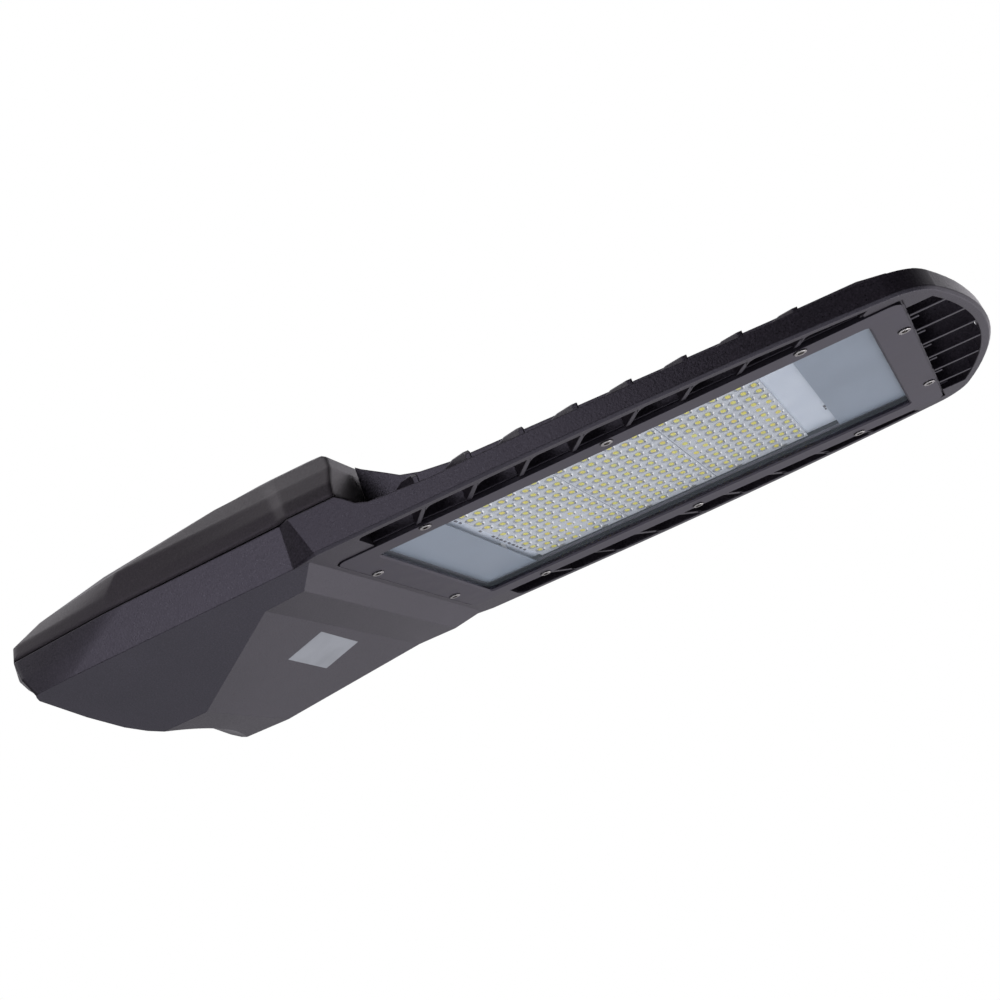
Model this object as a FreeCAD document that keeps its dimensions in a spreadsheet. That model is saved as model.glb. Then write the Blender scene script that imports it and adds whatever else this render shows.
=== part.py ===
import FreeCAD, Part
import Sketcher
import math
import os

# A road lantern head for a 60 mm spigot. Millimetres, +X towards the nose, +Z up, the light
# leaves towards -Z. The origin is the middle of the spigot socket's mouth, on its axis.

doc = FreeCAD.newDocument("StreetLightHead")
sheet = doc.addObject("Spreadsheet::Sheet", "Sizes")
Vec = FreeCAD.Vector

# name, size, what it is
table = [
    ("rimZ", 3.8, "underside of the rim round the optical bay"),
    ("partZ", 35.1, "parting face between housing and cover"),
    ("partGap", 0.8, "open line seen between housing and cover"),
    ("headRearX", 200, "where the flat head meets the gear compartment"),
    ("headHalf", 161.3, "half width of the head at its widest"),
    ("sideStartX", 284, "where the sides begin to curve in"),
    ("sideRadius", 2035, "curve of the sides"),
    ("sideMidNX", 0.0717, "direction of the side curve's middle, along X"),
    ("sideMidNY", 0.9974, "direction of the side curve's middle, along Y"),
    ("cornerX", 566.3, "centre of the nose corner curve, along X"),
    ("cornerY", 104.1, "centre of the nose corner curve, along Y"),
    ("cornerRadius", 36, "nose corner curve"),
    ("cornerStartNX", 0.1407, "direction where the nose corner starts"),
    ("cornerStartNY", 0.9900, "direction where the nose corner starts"),
    ("cornerMidNX", 0.6091, "direction of the middle of the nose corner"),
    ("cornerMidNY", 0.7931, "direction of the middle of the nose corner"),
    ("cornerEndNX", 0.9203, "direction where the nose corner ends"),
    ("cornerEndNY", 0.3914, "direction where the nose corner ends"),
    ("noseX", 623.8, "tip of the nose"),
    ("edgeRound", 1.9, "broken lower edge of the rim"),
    ("flankLean", 2.8, "how far the flank leans in up to the parting face"),
    ("rimWall", 7.5, "wall of the rim"),
    ("slotStartX", 209.6, "rear end of the first side opening"),
    ("slotInnerY", 126.5, "inner edge of the side openings"),
    ("slotEndX", 551, "front end of the last side opening"),
    ("ribFirstX", 243.6, "first slanted rib at the inner edge"),
    ("ribPitch", 38.1, "spacing of the slanted ribs"),
    ("ribSlant", 0.627, "run of a slanted rib along X for each mm outwards"),
    ("ribThick", 3.2, "slanted rib"),
    ("ribRise", 0.8, "ribs and grille bars stand this far above the rim face"),
    ("slotRound", 7, "outer rear corners of the first side openings"),
    ("ribInnerY", 103, "inner end of the slanted ribs"),
    ("ribInnerZ", 40, "top of the first slanted rib at its inner end"),
    ("ribKneeZ", 36.5, "top of the first slanted rib over the bay wall"),
    ("ribOuterZ", 29, "top of the first slanted rib at the rim wall"),
    ("ribFall", 12, "how much lower the tops of the ribs would be at the nose"),
    ("finPitch", 17.65, "spacing of the cooling fins"),
    ("finThick", 3, "cooling fin"),
    ("finMidZ", 50, "top of the middle fins"),
    ("finDrop", 0.25, "fins get lower outwards by this times the number squared"),
    ("finRampZ", 69, "top of the fins where they meet the cover"),
    ("finFrontX", 584, "front end of the short fins"),
    ("bayX", 378, "middle of the optical bay"),
    ("windowLen", 351, "opening of the glass frame"),
    ("windowWide", 210, "opening of the glass frame"),
    ("frameEnd", 23.5, "glass frame beyond its opening at the ends"),
    ("frameSide", 20, "glass frame beyond its opening at the sides"),
    ("frameRound", 7.2, "corners of the glass frame"),
    ("frameFaceZ", 3, "lower face of the glass frame"),
    ("frameThick", 3.5, "sheet of the glass frame"),
    ("frameGap", 1.5, "gap between the glass frame and the rim"),
    ("windowBevel", 1.4, "bevel round the opening"),
    ("glassLap", 5.5, "how far the glass reaches under the frame"),
    ("glassThick", 4, "toughened glass"),
    ("glassGap", 0.8, "gap round the glass in its seat"),
    ("sealThick", 2, "flat seal behind the glass"),
    ("sealWide", 5, "width of the flat seal"),
    ("bayCeilZ", 16.6, "mounting face of the light engine"),
    ("bayRoofZ", 21, "outer face over the light engine"),
    ("padThick", 0.4, "heat conducting sheet"),
    ("boardThick", 1.6, "light engine board"),
    ("boardRearX", 240, "rear edge of the board"),
    ("boardFrontX", 512, "front edge of the board"),
    ("boardHalf", 103, "half width of the board"),
    ("maskThick", 0.6, "grey masking sheet bonded to the glass"),
    ("maskInnerRear", 246, "edge of the rear masking sheet"),
    ("maskInnerFront", 501.5, "edge of the front masking sheet"),
    ("maskHalf", 105, "half width of the masking sheets"),
    ("lensFirstX", 252.5, "rear edge of the first lens plate"),
    ("lensPitch", 75, "spacing of the lens plates"),
    ("lensLen", 74.4, "length of a lens plate"),
    ("lensHalf", 101.5, "half width of a lens plate"),
    ("lensDeep", 2.3, "depth of a lens plate"),
    ("lensSkin", 1.3, "face of a lens plate"),
    ("lensHollow", 95, "half width of the hollow in a lens plate"),
    ("chipLong", 3.5, "light emitter"),
    ("chipWide", 2.8, "light emitter"),
    ("chipHigh", 0.7, "light emitter"),
    ("chipColumn", 9.25, "spacing of the emitter columns"),
    ("chipRow", 16.05, "spacing of the emitters in a column"),
    ("lensScrewX", 18.5, "lens screws from the middle of a lens plate"),
    ("lensScrewY", 98.3, "lens screws from the middle line"),
    ("frameScrewX", 133, "side frame screws from the middle of the bay"),
    ("frameScrewOut", 15, "side frame screws from the opening"),
    ("endScrewOut", 18.5, "end frame screws from the opening"),
    ("endScrewY", 70, "end frame screws from the middle line"),
    ("frameHeadD", 8.5, "head of a frame screw"),
    ("frameHeadHigh", 2.8, "height of the head of a frame screw"),
    ("frameHeadZ", 2, "outer face of the heads of the frame screws"),
    ("frameHeadSink", 9.2, "recess for the head of a frame screw"),
    ("frameShankD", 5, "shank of a frame screw"),
    ("frameShankLong", 11, "shank of a frame screw"),
    ("wall", 3.3, "wall of the castings"),
    ("socketR", 31, "spigot socket"),
    ("socketWall", 4.4, "wall round the spigot socket"),
    ("socketDeep", 26, "stop of the spigot socket from the origin"),
    ("socketStop", 4, "end wall of the spigot socket"),
    ("cordHoleR", 20, "opening for the cord in the end wall of the socket"),
    ("bellyZ", -35.5, "lowest face of the gear compartment"),
    ("lipX", -18.4, "rear edge of the lowest face"),
    ("lipSetX", -4.2, "middle of the hollowed rear edge"),
    ("lipHollow", 280, "curve of the hollowed rear edge"),
    ("bellyFrontX", 22.4, "front edge of the lowest face"),
    ("stepRearX", 122, "rear edge of the narrow level strip"),
    ("stepFrontX", 154.4, "front edge of the narrow level strip"),
    ("stepRearZ", -6.4, "level of the narrow strip at its rear edge"),
    ("stepFrontZ", -5.8, "level of the narrow strip at its front edge"),
    ("rimRearX", 173.6, "rear edge of the flat rim"),
    ("creaseFront", 152.9, "half width at the flank crease, front"),
    ("creaseRear", 144.9, "half width at the flank crease, rear"),
    ("creaseRearX", -40, "where the rear half width is taken"),
    ("facetRun", 2.168, "how far the lower facet runs in for each mm down"),
    ("shoulderTopX", 170.2, "front of the shoulder at the parting face"),
    ("shoulderLowX", 182, "front of the shoulder at the rim"),
    ("shoulderRearX", 161, "rear of the shoulder"),
    ("coverFrontX", 206, "front edge of the cover"),
    ("coverTopZ", 82.4, "top of the cover"),
    ("coverThick", 3, "wall of the cover"),
    ("sealSet", 4.6, "cover seal from the outline"),
    ("sealBand", 3.2, "width of the cover seal"),
    ("sealHigh", 2, "height of the cover seal"),
    ("flange", 9, "flange under the cover seal"),
    ("postFrontX", 180, "front cover screws"),
    ("postFrontY", 100, "front cover screws"),
    ("postRearX", -25, "rear cover screws"),
    ("postRearY", 88, "rear cover screws"),
    ("postR", 7, "posts for the cover screws"),
    ("coverSeatZ", 46, "seat of the heads of the cover screws"),
    ("coverScrewD", 5, "cover screw"),
    ("coverHeadD", 8.5, "head of a cover screw"),
    ("coverScrewLong", 22, "cover screw"),
    ("trayZ", 8, "underside of the gear tray"),
    ("trayThick", 1.5, "sheet of the gear tray"),
    ("trayFrontX", 166, "front edge of the gear tray"),
    ("trayNeckX", 92, "rear edge of the tray's cross part"),
    ("trayRearX", 12, "rear ends of the tray's arms"),
    ("trayHalf", 112, "half width of the gear tray"),
    ("trayArmY", 42, "inner edge of the tray's arms"),
    ("trayScrewFrontX", 158, "front tray screws"),
    ("trayScrewRearX", 24, "rear tray screws"),
    ("trayScrewY", 103, "tray screws from the middle line"),
    ("driverLen", 172, "length of the driver case"),
    ("driverWide", 60, "width of the driver case"),
    ("driverHigh", 35, "height of the driver case"),
    ("driverX", 129, "middle of the driver case"),
    ("smallScrewD", 4, "small screws"),
    ("smallHeadD", 7.6, "heads of the small screws"),
    ("smallHeadHigh", 2.4, "heads of the small screws"),
    ("lensScrewD", 3, "lens screws"),
    ("lensHeadD", 5.4, "heads of the lens screws"),
    ("lensHeadHigh", 0.8, "heads of the lens screws"),
    ("lensScrewLong", 7.4, "lens screws under the head"),
    ("clampD", 8, "spigot clamp bolts"),
    ("clampRearX", -26, "rear clamp bolt"),
    ("clampFrontX", 8, "front clamp bolt"),
    ("clampBossR", 9, "bosses of the clamp bolts"),
    ("clampBossZ", 42, "top of the bosses of the clamp bolts"),
    ("clampFlats", 13, "across the flats of the clamp bolts and nuts"),
    ("leadR", 1.2, "insulated lead"),
    ("leadY", 35, "middle of the lead passage"),
    ("leadSpread", 5, "between the two leads"),
    ("leadZ", 14.5, "level of the leads in the passage"),
    ("fit", 0.1, "plain clearance between parts that are pushed together"),
]


class Size:
    # a number together with the cells it comes from
    def __init__(self, value, text):
        self.value = float(value)
        self.text = text

    @staticmethod
    def of(thing):
        return thing if isinstance(thing, Size) else Size(thing, "(%r)" % float(thing))

    def __add__(self, other):
        other = Size.of(other)
        return Size(self.value + other.value, "(%s + %s)" % (self.text, other.text))

    def __radd__(self, other):
        return Size.of(other) + self

    def __sub__(self, other):
        other = Size.of(other)
        return Size(self.value - other.value, "(%s - %s)" % (self.text, other.text))

    def __rsub__(self, other):
        return Size.of(other) - self

    def __mul__(self, other):
        other = Size.of(other)
        return Size(self.value * other.value, "(%s * %s)" % (self.text, other.text))

    def __rmul__(self, other):
        return Size.of(other) * self

    def __truediv__(self, other):
        other = Size.of(other)
        return Size(self.value / other.value, "(%s / %s)" % (self.text, other.text))

    def __neg__(self):
        return Size(-self.value, "(-1 * %s)" % self.text)


class Sizes:
    pass


g = Sizes()
for row, (alias, number, note) in enumerate(table, start=1):
    sheet.set("A%d" % row, alias)
    sheet.set("B%d" % row, str(number))
    sheet.set("C%d" % row, note)
    sheet.setAlias("B%d" % row, alias)
    setattr(g, alias, Size(number, "Sizes." + alias))
doc.recompute()


def bind(obj, path, size):
    size = Size.of(size)
    obj.setExpression(path, size.text)


def place(obj, x=0, y=0, z=0, turn=None):
    spots = [Size.of(v) for v in (x, y, z)]
    rotation = turn if turn is not None else FreeCAD.Rotation()
    obj.Placement = FreeCAD.Placement(Vec(*[s.value for s in spots]), rotation)
    for axis, spot in zip("xyz", spots):
        bind(obj, "Placement.Base." + axis, spot)
    return obj


turns = {
    "XY": FreeCAD.Rotation(),
    "XZ": FreeCAD.Rotation(Vec(1, 0, 0), 90),
    "YZ": FreeCAD.Rotation(Vec(1, 1, 1), 120),
}


def pin(sketch, geo, pos, x, y):
    # holds one point of a sketch at its two distances from the sketch's origin
    x, y = Size.of(x), Size.of(y)
    for kind, size in (("DistanceX", x), ("DistanceY", y)):
        number = sketch.addConstraint(Sketcher.Constraint(kind, -1, 1, geo, pos, size.value))
        sketch.setExpression("Constraints[%d]" % number, size.text)


def dimension(sketch, kind, geo, size):
    size = Size.of(size)
    number = sketch.addConstraint(Sketcher.Constraint(kind, geo, size.value))
    sketch.setExpression("Constraints[%d]" % number, size.text)


def loop(sketch, points, rounds=None, bows=None):
    # a closed outline: rounds gives the radius at a corner, bows a point that a side passes through
    rounds = rounds or {}
    bows = bows or {}
    count = len(points)
    at = [Vec(Size.of(x).value, Size.of(y).value, 0) for x, y in points]
    corner = {}
    for i, radius in rounds.items():
        before = (at[i - 1] - at[i]).normalize()
        after = (at[(i + 1) % count] - at[i]).normalize()
        half = math.acos(max(-1, min(1, before.dot(after)))) / 2
        back = Size.of(radius).value / math.tan(half)
        centre = at[i] + (before + after).normalize() * (Size.of(radius).value / math.sin(half))
        corner[i] = (at[i] + before * back, at[i] + after * back, centre, before.cross(after).z < 0)
    sides = []
    for i in range(count):
        j = (i + 1) % count
        start = corner[i][1] if i in corner else at[i]
        end = corner[j][0] if j in corner else at[j]
        if i in bows:
            mid = Vec(Size.of(bows[i][0]).value, Size.of(bows[i][1]).value, 0)
            forward = (end - start).cross(mid - start).z < 0
            ends = (start, mid, end) if forward else (end, mid, start)
            curve = Part.Arc(*ends).toShape().Curve
            circle = Part.Circle(curve.Center, Vec(0, 0, 1), curve.Radius)
            shape = Part.ArcOfCircle(circle, circle.parameter(ends[0]), circle.parameter(ends[2]))
            sides.append((sketch.addGeometry(shape, False), 1 if forward else 2, 2 if forward else 1))
        else:
            sides.append((sketch.addGeometry(Part.LineSegment(start, end), False), 1, 2))
    for i in range(count):
        (before, _, tail), (after, head, _) = sides[i - 1], sides[i]
        if i not in corner:
            sketch.addConstraint(Sketcher.Constraint("Coincident", before, tail, after, head))
            pin(sketch, after, head, *points[i])
            continue
        start, end, centre, left = corner[i]
        circle = Part.Circle(centre, Vec(0, 0, 1), (start - centre).Length)
        first, last = (start, end) if left else (end, start)
        shape = Part.ArcOfCircle(circle, circle.parameter(first), circle.parameter(last))
        arc = sketch.addGeometry(shape, False)
        mark = sketch.addGeometry(Part.Point(at[i]), True)
        pin(sketch, mark, 1, *points[i])
        sketch.addConstraint(Sketcher.Constraint("PointOnObject", mark, 1, before))
        sketch.addConstraint(Sketcher.Constraint("PointOnObject", mark, 1, after))
        sketch.addConstraint(Sketcher.Constraint("Tangent", before, tail, arc, 1 if left else 2))
        sketch.addConstraint(Sketcher.Constraint("Tangent", arc, 2 if left else 1, after, head))
        dimension(sketch, "Radius", arc, rounds[i])
    for i, middle in bows.items():
        mark = sketch.addGeometry(Part.Point(Vec(*[Size.of(v).value for v in middle], 0)), True)
        pin(sketch, mark, 1, *middle)
        sketch.addConstraint(Sketcher.Constraint("PointOnObject", mark, 1, sides[i][0]))


def ring(sketch, x, y, radius):
    x, y, radius = Size.of(x), Size.of(y), Size.of(radius)
    geo = sketch.addGeometry(Part.Circle(Vec(x.value, y.value, 0), Vec(0, 0, 1), radius.value), False)
    pin(sketch, geo, 3, x, y)
    dimension(sketch, "Radius", geo, radius)


def draw(name, plane, level, loops):
    # a sketch lying in a main plane, moved along that plane's normal to its level
    sketch = doc.addObject("Sketcher::SketchObject", name)
    spot = {"XY": (0, 0, level), "XZ": (0, level, 0), "YZ": (level, 0, 0)}[plane]
    place(sketch, *spot, turn=turns[plane])
    for kind, *rest in loops:
        (ring if kind == "ring" else loop)(sketch, *rest)
    return sketch


def extrude(name, sketch, long, back=0):
    solid = doc.addObject("Part::Extrusion", name)
    solid.Base = sketch
    solid.DirMode = "Normal"
    solid.Solid = True
    bind(solid, "LengthFwd", long)
    if Size.of(back).value:
        bind(solid, "LengthRev", back)
    return solid


def loft(name, sketches, ruled=True):
    solid = doc.addObject("Part::Loft", name)
    solid.Sections = sketches
    solid.Solid = True
    solid.Ruled = ruled
    return solid


def fuse(name, parts):
    solid = doc.addObject("Part::MultiFuse", name)
    solid.Shapes = parts
    solid.Refine = True
    return solid


def common(name, parts):
    solid = doc.addObject("Part::MultiCommon", name)
    solid.Shapes = parts
    return solid


def cut(name, base, tools):
    solid = doc.addObject("Part::Cut", name)
    solid.Base = base
    solid.Tool = tools[0] if len(tools) == 1 else group(name + "Tools", tools)
    solid.Refine = True
    return solid


def group(name, parts):
    solid = doc.addObject("Part::MultiFuse", name)
    solid.Shapes = parts
    return solid


def rod(name, radius, long, x, y, z, along="Z"):
    solid = doc.addObject("Part::Cylinder", name)
    bind(solid, "Radius", radius)
    bind(solid, "Height", long)
    turn = {"Z": None, "X": FreeCAD.Rotation(Vec(0, 1, 0), 90)}[along]
    return place(solid, x, y, z, turn)


def block(name, long, wide, high, x, y, z):
    solid = doc.addObject("Part::Box", name)
    bind(solid, "Length", long)
    bind(solid, "Width", wide)
    bind(solid, "Height", high)
    return place(solid, x, y, z)


def peg(name, sides, radius, long, x, y, z):
    # an upright many-sided peg: small screws and their holes stay light this way
    solid = doc.addObject("Part::Prism", name)
    solid.Polygon = sides
    bind(solid, "Circumradius", radius)
    bind(solid, "Height", long)
    return place(solid, x, y, z)


def pegs(name, sides, radius, long, spots, z):
    return [peg("%s%d" % (name, i), sides, radius, long, x, y, z) for i, (x, y) in enumerate(spots)]


def hexagon(name, flats, high, x, y, z):
    return peg(name, 6, Size.of(flats) / 1.7320508, high, x, y, z)


def copies(name, what, spots):
    # the same piece set down at several places, as one object
    links = []
    for i, (x, y, z) in enumerate(spots):
        link = doc.addObject("App::Link", "%s%d" % (name, i))
        link.LinkedObject = what
        place(link, x, y, z)
        links.append(link)
    solid = doc.addObject("Part::Compound", name)
    solid.Links = links
    return solid


def plane_of(body, role):
    for feature in body.Origin.OriginFeatures:
        if feature.Role == role:
            return feature


def slab(name, loops, low, thick, pockets=()):
    # a flat piece padded up from its outline, then pocketed: pockets hold a name, loops, level, depth, up
    body = doc.addObject("PartDesign::Body", name)

    def layer(title, shapes, level):
        sketch = body.newObject("Sketcher::SketchObject", title)
        sketch.AttachmentSupport = (plane_of(body, "XY_Plane"), [""])
        sketch.MapMode = "FlatFace"
        level = Size.of(level)
        sketch.AttachmentOffset = FreeCAD.Placement(Vec(0, 0, level.value), FreeCAD.Rotation())
        bind(sketch, "AttachmentOffset.Base.z", level)
        for kind, *rest in shapes:
            (ring if kind == "ring" else loop)(sketch, *rest)
        return sketch

    pad = body.newObject("PartDesign::Pad", name + "Pad")
    pad.Profile = layer(name + "Outline", loops, low)
    bind(pad, "Length", thick)
    doc.recompute()
    for title, shapes, level, deep, upward in pockets:
        before = body.Shape.Volume
        pocket = body.newObject("PartDesign::Pocket", name + title)
        pocket.Profile = layer(name + title + "Outline", shapes, level)
        bind(pocket, "Length", deep)
        pocket.Reversed = upward
        doc.recompute()
        if body.Shape.Volume > before - 1e-6:
            raise SystemExit(name + title + " removes nothing")
    return body


def box_loop(x, y, half_x, half_y, radius=None):
    # a rectangle about a middle, with corners rounded or left sharp
    spots = [(x - half_x, y - half_y), (x + half_x, y - half_y), (x + half_x, y + half_y), (x - half_x, y + half_y)]
    return ("loop", spots, {i: radius for i in range(4)} if radius is not None else {})


def cut_loop(x, y, half_x, half_y, off):
    # a rectangle about a middle with its corners cut off
    side_x, side_y = half_x - off, half_y - off
    return ("loop", [(x - side_x, y - half_y), (x + side_x, y - half_y), (x + half_x, y - side_y),
                     (x + half_x, y + side_y), (x + side_x, y + half_y), (x - side_x, y + half_y),
                     (x - half_x, y + side_y), (x - half_x, y - side_y)])


nodes = {}


def node(label, obj):
    obj.Label = label
    nodes[label] = obj
    return obj


# Outlines
def head_outline(name, level, inset, rear):
    # the head seen from below: straight sides, a long curve, rounded corners and a flattened nose
    side_centre = g.headHalf - g.sideRadius
    reach = g.cornerRadius - inset
    long_reach = g.sideRadius - inset
    far = [
        (rear, g.headHalf - inset),
        (g.sideStartX, g.headHalf - inset),
        (g.cornerX + reach * g.cornerStartNX, g.cornerY + reach * g.cornerStartNY),
        (g.cornerX + reach * g.cornerEndNX, g.cornerY + reach * g.cornerEndNY),
    ]
    side_mid = (g.sideStartX + long_reach * g.sideMidNX, side_centre + long_reach * g.sideMidNY)
    corner_mid = (g.cornerX + reach * g.cornerMidNX, g.cornerY + reach * g.cornerMidNY)
    points = [(x, -y) for x, y in far] + far[::-1]
    bows = {
        1: (side_mid[0], -side_mid[1]),
        2: (corner_mid[0], -corner_mid[1]),
        3: (g.noseX - inset, 0),
        4: corner_mid,
        5: side_mid,
    }
    return draw(name, "XY", level, [("loop", points, {}, bows)])


def gear_outline(name, level, front, half_front, shoulder, half_rear, rear, inset=0):
    # the gear compartment seen from above: shoulder at the front, flanks that bend in at the waist,
    # knee and heel at the rear corner
    (waist, waist_r), (knee, knee_r), (heel, heel_r) = rear
    far = [
        (front - inset, half_front - inset),
        (shoulder, half_front - inset),
        (shoulder - g.shoulderTopX + g.shoulderRearX, half_rear - inset),
        (waist[0], waist[1] - inset),
        (knee[0] + inset * 0.6, knee[1] - inset),
        (heel[0] + inset * 1.6, heel[1] - inset * 0.6),
    ]
    points = [(x, -y) for x, y in far[::-1]] + far
    rounds = {0: heel_r, 1: knee_r, 10: knee_r, 11: heel_r}
    if waist_r:
        rounds[2] = waist_r
        rounds[9] = waist_r
    return draw(name, "XY", level, [("loop", points, rounds)])


frameLen = g.windowLen + g.frameEnd * 2
frameWide = g.windowWide + g.frameSide * 2
endScrewX = g.windowLen / 2 + g.endScrewOut
frameScrewY = g.windowWide / 2 + g.frameScrewOut

# Lower housing: the flat head
shell = loft("HeadShell", [
    head_outline("HeadLow", g.rimZ, g.edgeRound, g.headRearX),
    head_outline("HeadEdge", g.rimZ + g.edgeRound, 0, g.headRearX),
    head_outline("HeadTop", g.partZ, g.flankLean, g.headRearX),
])
crest = extrude("HeadCrest", draw("HeadCrestSide", "XZ", 0, [("loop", [
    (g.headRearX - 5, g.rimZ - 5), (g.noseX + 5, g.rimZ - 5), (g.noseX + 5, 11), (g.noseX - 1, 12),
    (g.noseX - 12, 15.5), (g.noseX - 32, 18.5), (g.noseX - 60, 20), (g.noseX - 90, 20), (g.noseX - 125, 18.4),
    (272, 18.8), (228, 21.8), (219, 25), (212, 31), (g.coverFrontX, g.partZ), (g.headRearX - 5, g.partZ),
])]), 200, 200)
core = common("HeadCore", [shell, crest])
middleEnd = g.bayX + frameLen / 2 + g.frameGap


def rim_inner(x):
    # inner edge of the side wall: straight, then falling with the long curve
    if x.value <= g.sideStartX.value:
        return g.headHalf - g.rimWall - 0.1
    run = x - g.sideStartX
    return g.headHalf - g.rimWall - 0.1 - run * run / (g.sideRadius * 2)


def side_opening(number, side):
    # a slot between two slanted ribs, rounded most at its outer rear corner
    half = g.ribThick * 0.59
    deep = rim_inner(g.ribFirstX + g.ribPitch * number) - g.slotInnerY
    front_in = g.ribFirstX + g.ribPitch * number - half
    rear_in = g.ribFirstX + g.ribPitch * (number - 1) + half
    rear_out = rear_in + deep * g.ribSlant
    if number == 0:
        rear_in, rear_out = g.slotStartX, g.slotStartX
    if number == 8:
        front_in = g.slotEndX
    front_out = front_in + deep * g.ribSlant
    corners = [(rear_in, g.slotInnerY), (front_in, g.slotInnerY), (front_out, rim_inner(front_out)),
               (rear_out, rim_inner(rear_out))]
    big = g.slotRound if number < 5 else g.slotRound * (0.9 - 0.15 * (number - 4))
    name = "Slot%s%d" % ("Far" if side > 0 else "Near", number)
    plan = draw(name + "Plan", "XY", g.rimZ - 5, [("loop", [(x, y * side) for x, y in corners], {3: big})])
    return extrude(name, plan, 60)


noseOpening = common("NoseOpening", [
    extrude("NoseOpeningBlank", head_outline("NoseOpeningPlan", g.rimZ - 5, g.rimWall, middleEnd - 1), 60),
    block("NoseOpeningLimit", 60, 216, 60, middleEnd - 1, -108, g.rimZ - 5),
])
sideRecess = cut("SideRecess", extrude("SideRecessBlank", head_outline("SideRecessPlan", g.rimZ - 5, g.rimWall, g.slotStartX),
                 5 + g.ribRise), [block("SideRecessEnd", 80, 340, 30, g.slotEndX + 3, -170, g.rimZ - 10)])
rim = cut("Rim", core, [
    block("MiddleClearing", middleEnd - g.slotStartX, g.slotInnerY * 2, 60, g.slotStartX, -g.slotInnerY, g.rimZ - 5),
    noseOpening, sideRecess,
] + [side_opening(number, side) for side in (-1, 1) for number in range(9)])

# the bay that holds the light engine
bay = block("BayBlock", middleEnd - g.headRearX, g.slotInnerY * 2, g.bayRoofZ - g.frameFaceZ - g.frameThick,
            g.headRearX, -g.slotInnerY, g.frameFaceZ + g.frameThick)


def fin(number):
    # one upright cooling fin: the odd ones run on as bars of the nose grille
    top = g.finMidZ - g.finDrop * (number * number)
    low = g.rimZ + g.ribRise
    rise = g.finRampZ - top
    back = [(g.finFrontX - 84, top - 7), (272, top), (250, top + rise * 0.1), (236, top + rise * 0.24),
            (226, top + rise * 0.47), (211, g.finRampZ - 5.5), (204, g.finRampZ)]
    if number % 2:
        side = [(204, 18), (g.finFrontX - 6, 18), (g.finFrontX - 6, low), (g.noseX - 3, low), (g.noseX - 3, 10),
                (g.noseX - 14, 14), (g.finFrontX + 4, 22), (g.finFrontX - 26, top - 8.5)] + back
    else:
        side = [(204, 18), (g.finFrontX - 6, 18), (g.finFrontX - 6, low + 3), (g.finFrontX, low + 3),
                (g.finFrontX, 25), (g.finFrontX - 8, top - 11), (g.finFrontX - 26, top - 8)] + back
    middle = g.finPitch * number
    name = "Fin%s%d" % ("Far" if number > 0 else "Near", abs(number))
    return extrude(name, draw(name + "Side", "XZ", middle, [("loop", side)]), g.finThick / 2, g.finThick / 2)


# the fins reach under the cover's front wall and stop short of the rim's outer skin
fins = common("Fins", [
    group("FinBlanks", [fin(number) for number in range(-6, 7)]),
    extrude("FinLimit", head_outline("FinLimitPlan", -10, 3, g.coverFrontX + 1), 90),
])


def slanted_rib(number, side):
    # a rib crossing a side opening, leaning forward as it goes out
    half = g.ribThick * 0.59
    start = g.ribFirstX + g.ribPitch * number
    inner, outer = g.ribInnerY, g.headHalf - 4
    inner_x = start + (inner - g.slotInnerY) * g.ribSlant
    outer_x = start + (outer - g.slotInnerY) * g.ribSlant
    corners = [(inner_x - half, inner), (inner_x + half, inner), (outer_x + half, outer), (outer_x - half, outer)]
    if side < 0:
        corners = [(x, -y) for x, y in corners]
    name = "Rib%s%d" % ("Far" if side > 0 else "Near", number)
    return extrude(name, draw(name + "Plan", "XY", g.rimZ + g.ribRise, [("loop", corners)]), 40)


def rib_crown(name, side):
    # the room under the crests of the slanted ribs, falling towards the nose
    def section(title, x, fall):
        shape = [(g.ribInnerY - 1, 0), (g.headHalf, 0), (g.headHalf, g.ribOuterZ - fall - 8),
                 (g.headHalf - 8.5, g.ribOuterZ - fall), (g.slotInnerY, g.ribKneeZ - fall),
                 (g.ribInnerY - 1, g.ribInnerZ - fall)]
        return draw(title, "YZ", x, [("loop", [(y * side, z) for y, z in shape])])
    return loft(name, [section(name + "Rear", 220, 0), section(name + "Front", 620, g.ribFall)])


ribs = common("Ribs", [
    group("RibBlanks", [slanted_rib(number, side) for side in (-1, 1) for number in range(8)]),
    group("RibCrowns", [rib_crown("RibCrownNear", -1), rib_crown("RibCrownFar", 1)]),
    extrude("RibLimit", head_outline("RibLimitPlan", -10, g.rimWall - 2, g.slotStartX), 90),
])


def shoulder(name, side):
    # the step from the narrower compartment flank out to the flank of the head
    def plan(title, level, front, half):
        shape = [(g.shoulderRearX, g.creaseFront), (front, half), (g.headRearX, half),
                 (g.headRearX, 140), (g.shoulderRearX, 140)]
        return draw(title, "XY", level, [("loop", [(x, y * side) for x, y in shape])])
    return loft(name, [
        plan(name + "Low", g.rimZ, g.shoulderLowX, g.headHalf - g.edgeRound),
        plan(name + "Edge", g.rimZ + g.edgeRound, g.shoulderLowX, g.headHalf),
        plan(name + "Top", g.partZ, g.shoulderTopX, g.headHalf - g.flankLean),
    ])


# Lower housing: the gear compartment
topWaist, topKnee, topHeel = (20, 147.5), (-72, 135.2), (-106, 84)
midWaist, midKnee, midHeel = (-2, 146.6), (-66.5, 139.6), (-84, 108)
lowWaist, lowKnee, lowHeel = (-25, 145.5), (-56.5, 143.8), (-60, 130)


def top_rear(inset):
    # the rear corner at the parting face: corner curves get tighter inwards
    return ((topWaist, 0), (topKnee, 8 - inset * 0.4), (topHeel, 45 - inset))


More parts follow.
